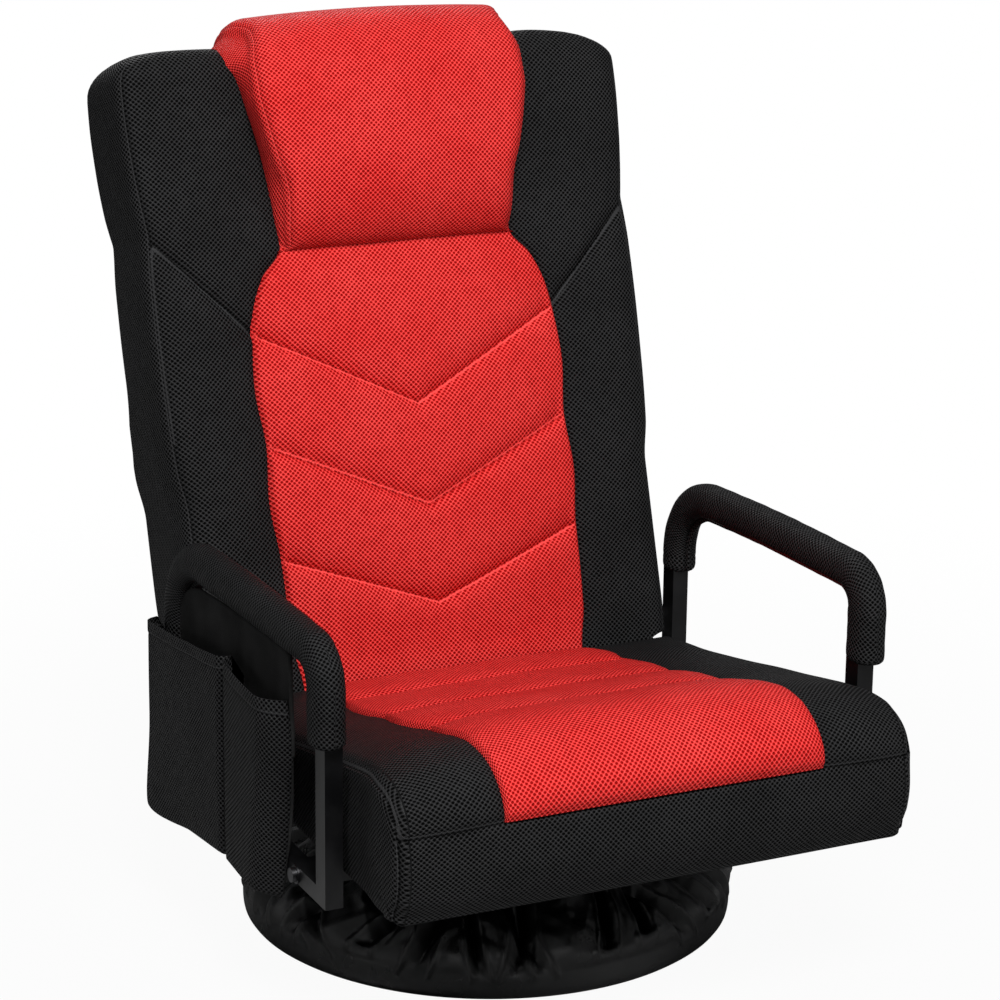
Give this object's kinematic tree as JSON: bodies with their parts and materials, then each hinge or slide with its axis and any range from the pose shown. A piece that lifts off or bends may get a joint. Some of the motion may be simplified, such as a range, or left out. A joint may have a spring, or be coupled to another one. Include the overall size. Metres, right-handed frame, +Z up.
{
  "type": "floor gaming chair",
  "caption": "Legless swivel floor chair with a reclining padded back, sewn-on head cushion, padded loop arms, a side pouch on one arm and a cloth-covered ring base.",
  "frame": {"origin": "on the floor, on the swivel axis, in the middle of the base ring", "axes": "+Z up, the chair faces -Y at rest, +X to the sitter's left"},
  "size_m": [0.6088, 0.772, 0.8704],
  "materials": {
    "red_mesh": "matte",
    "black_mesh": "matte",
    "black_nylon": "satin",
    "pouch_cloth": "matte",
    "webbing": "matte",
    "dust_cloth": "matte",
    "black_steel": "satin",
    "bare_steel": "satin",
    "bolt_steel": "satin",
    "plug_plastic": "matte",
    "bearing_plastic": "matte",
    "foot_rubber": "matte"
  },
  "bodies": {
    "base": {"base_ring": "black_steel", "base_feet": "foot_rubber", "base_legs": "black_steel", "hub_plate": "black_steel", "swivel_plate_lower": "bare_steel", "swivel_bolts_lower": "bolt_steel", "thrust_ring": "bearing_plastic", "king_pin": "bolt_steel", "base_cover": "black_nylon"},
    "seat": {"swivel_plate_upper": "bare_steel", "swivel_bolts_upper": "bolt_steel", "swivel_rails": "black_steel", "cross_bars": "black_steel", "cross_bar_plugs": "plug_plastic", "frame_bolts": "bolt_steel", "seat_frame": "black_steel", "seat_webbing": "webbing", "seat_bottom_cloth": "dust_cloth", "seat_cushion": "black_mesh", "seat_center_panel": "red_mesh", "arm_frame_left": "black_steel", "arm_frame_right": "black_steel", "arm_pad_left": "black_mesh", "arm_pad_right": "black_mesh", "arm_bolts": "bolt_steel", "arm_washers": "bolt_steel", "pouch_lining": "pouch_cloth", "pouch_front_pocket": "black_mesh", "pouch_rear_pocket": "black_mesh", "hinge_cheeks_left": "black_steel", "hinge_cheeks_right": "black_steel", "hinge_pins": "bolt_steel", "pawl_pins": "bolt_steel", "pawl_springs": "bare_steel"},
    "back": {"back_frame": "black_steel", "back_cross_bars": "black_steel", "back_webbing": "webbing", "back_hinge_bolts": "bolt_steel", "back_cushion": "black_mesh", "lumbar_panel": "red_mesh", "head_cushion": "red_mesh", "hinge_quadrant_left": "bare_steel", "hinge_quadrant_right": "bare_steel"},
    "pawl_left": {"pawl_left": "bare_steel"},
    "pawl_right": {"pawl_right": "bare_steel"}
  },
  "joints": [
    {"name": "swivel", "type": "hinge", "parent": "base", "child": "seat", "pos_m": [0, 0, 0], "axis": [0, 0, 1], "continuous": true},
    {"name": "recline", "type": "hinge", "parent": "seat", "child": "back", "pos_m": [0, 0.151, 0.182], "axis": [1, 0, 0], "range_deg": [-72.5, 14.5]},
    {"name": "pawl_left_pivot", "type": "hinge", "parent": "seat", "child": "pawl_left", "pos_m": [-0.249, 0.106, 0.183], "axis": [1, 0, 0], "range_deg": [0, 10]},
    {"name": "pawl_right_pivot", "type": "hinge", "parent": "seat", "child": "pawl_right", "pos_m": [0.249, 0.106, 0.183], "axis": [1, 0, 0], "range_deg": [0, 10]}
  ]
}
